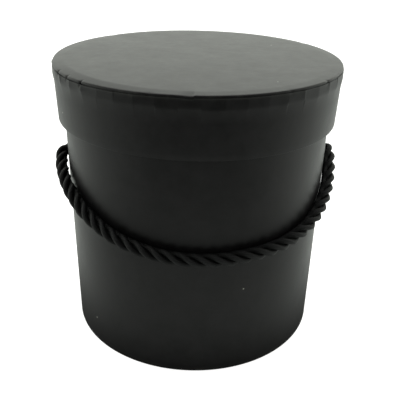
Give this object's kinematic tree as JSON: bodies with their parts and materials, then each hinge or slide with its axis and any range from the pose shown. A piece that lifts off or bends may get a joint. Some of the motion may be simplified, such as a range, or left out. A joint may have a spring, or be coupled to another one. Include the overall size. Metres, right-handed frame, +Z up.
{
  "type": "round hat box",
  "caption": "Round lidded hat box of paper-covered board, with a lift-off lid and a twisted cord handle knotted inside the wall.",
  "frame": {"origin": "centre of the base, on the surface the box stands on", "axes": "+Z up along the box's axis, X through both cord holes, the cord hanging in front towards -Y"},
  "size_m": [0.1643, 0.1626, 0.1617],
  "materials": {
    "board": "matt grey board",
    "cover_paper": "smooth black paper with a low satin sheen",
    "lining_paper": "matt black paper",
    "cord": "three-strand twisted cord with a soft sheen",
    "end_tape": "smooth black tape"
  },
  "bodies": {
    "box": {"body_tube": "board", "base_disc": "board", "body_wrap": "cover_paper", "base_paper": "cover_paper", "body_lining": "lining_paper", "floor_lining": "lining_paper"},
    "lid": {"lid_rim": "board", "lid_disc": "board", "lid_top_paper": "cover_paper", "lid_skirt_wrap": "cover_paper", "lid_rim_lining": "lining_paper", "lid_disc_lining": "lining_paper"},
    "handle": {"handle_cord": "cord", "left_knot": "cord", "right_knot": "cord", "left_end_tape": "end_tape", "right_end_tape": "end_tape"}
  },
  "joints": [
    {"name": "lid_lift", "type": "slide", "parent": "box", "child": "lid", "axis": [0, 0, 1], "range_m": [0, 0.1]},
    {"name": "handle_swing", "type": "hinge", "parent": "box", "child": "handle", "pos_m": [0, 0, 0.107], "axis": [-1, 0, 0], "range_deg": [0, 30]}
  ]
}
